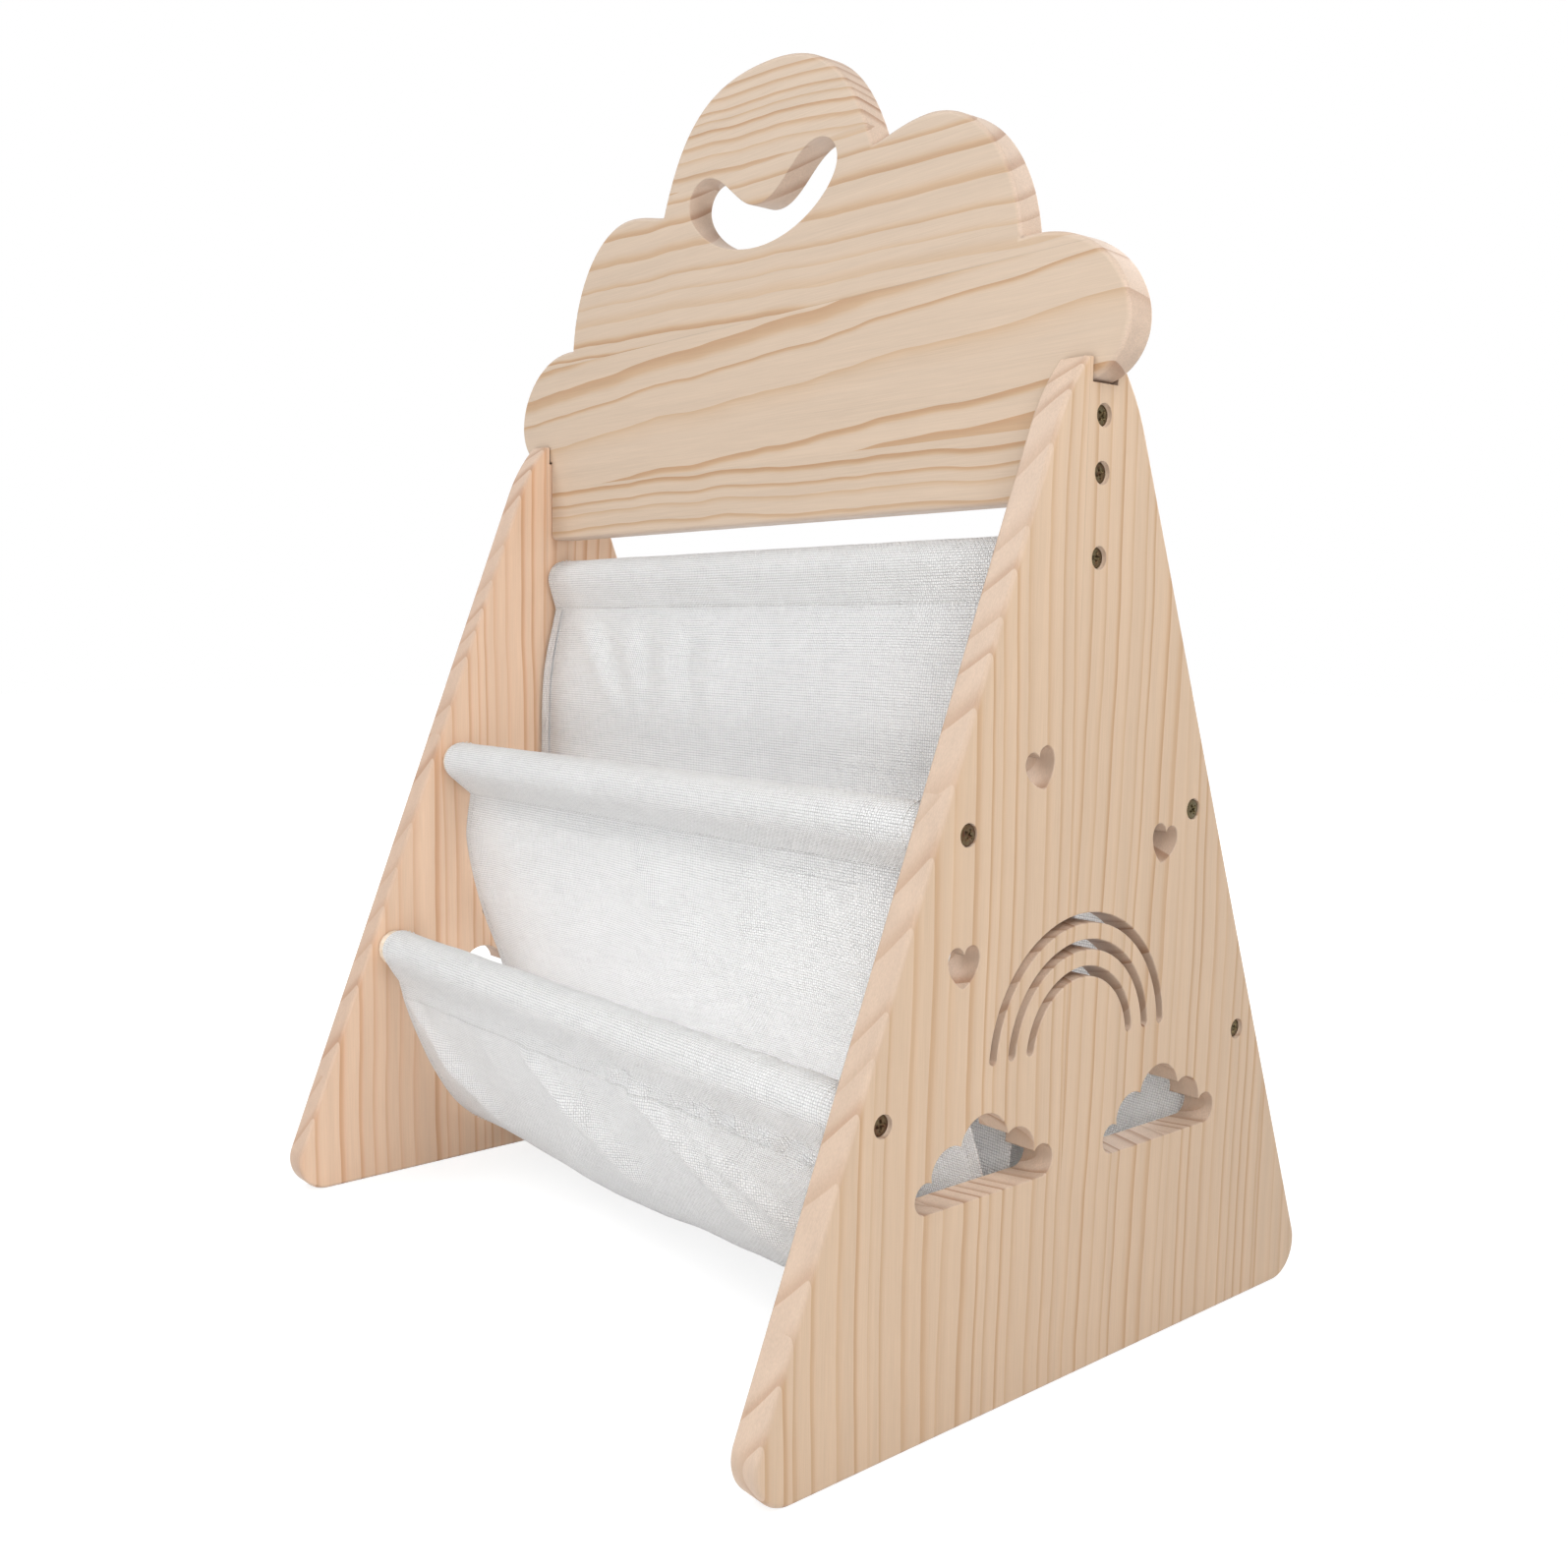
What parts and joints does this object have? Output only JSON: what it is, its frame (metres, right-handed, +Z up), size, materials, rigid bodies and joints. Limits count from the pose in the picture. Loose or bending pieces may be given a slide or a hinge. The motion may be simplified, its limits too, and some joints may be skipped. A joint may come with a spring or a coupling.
{
  "type": "sling bookshelf",
  "caption": "Child's freestanding book rack: pine side panels with cut-out ornaments, a cloud shaped top board with a hand hole, round rods and hanging cloth slings that hold books.",
  "frame": {"origin": "on the floor, under the middle of the shelf", "axes": "+X along the rods to the right, +Y from front to back, +Z up"},
  "size_m": [0.518, 0.4152, 0.696],
  "materials": {
    "pine_board": "satin clear lacquer",
    "rod": "sanded",
    "cloth": "plain woven white canvas",
    "screw": "bronzed"
  },
  "bodies": {
    "root": {"left_side_panel": "pine_board", "right_side_panel": "pine_board", "cloud_board": "pine_board", "top_rod": "rod", "front_mid_rod": "rod", "back_mid_rod": "rod", "front_low_rod": "rod", "back_low_rod": "rod", "top_rod_sleeve": "cloth", "front_pocket_sling": "cloth", "back_pocket_sling": "cloth", "lower_sling": "cloth", "left_cloud_upper_screw": "screw", "left_cloud_lower_screw": "screw", "left_top_rod_screw": "screw", "left_mid_front_screw": "screw", "left_mid_back_screw": "screw", "left_low_front_screw": "screw", "left_low_back_screw": "screw", "right_cloud_upper_screw": "screw", "right_cloud_lower_screw": "screw", "right_top_rod_screw": "screw", "right_mid_front_screw": "screw", "right_mid_back_screw": "screw", "right_low_front_screw": "screw", "right_low_back_screw": "screw"}
  },
  "joints": []
}
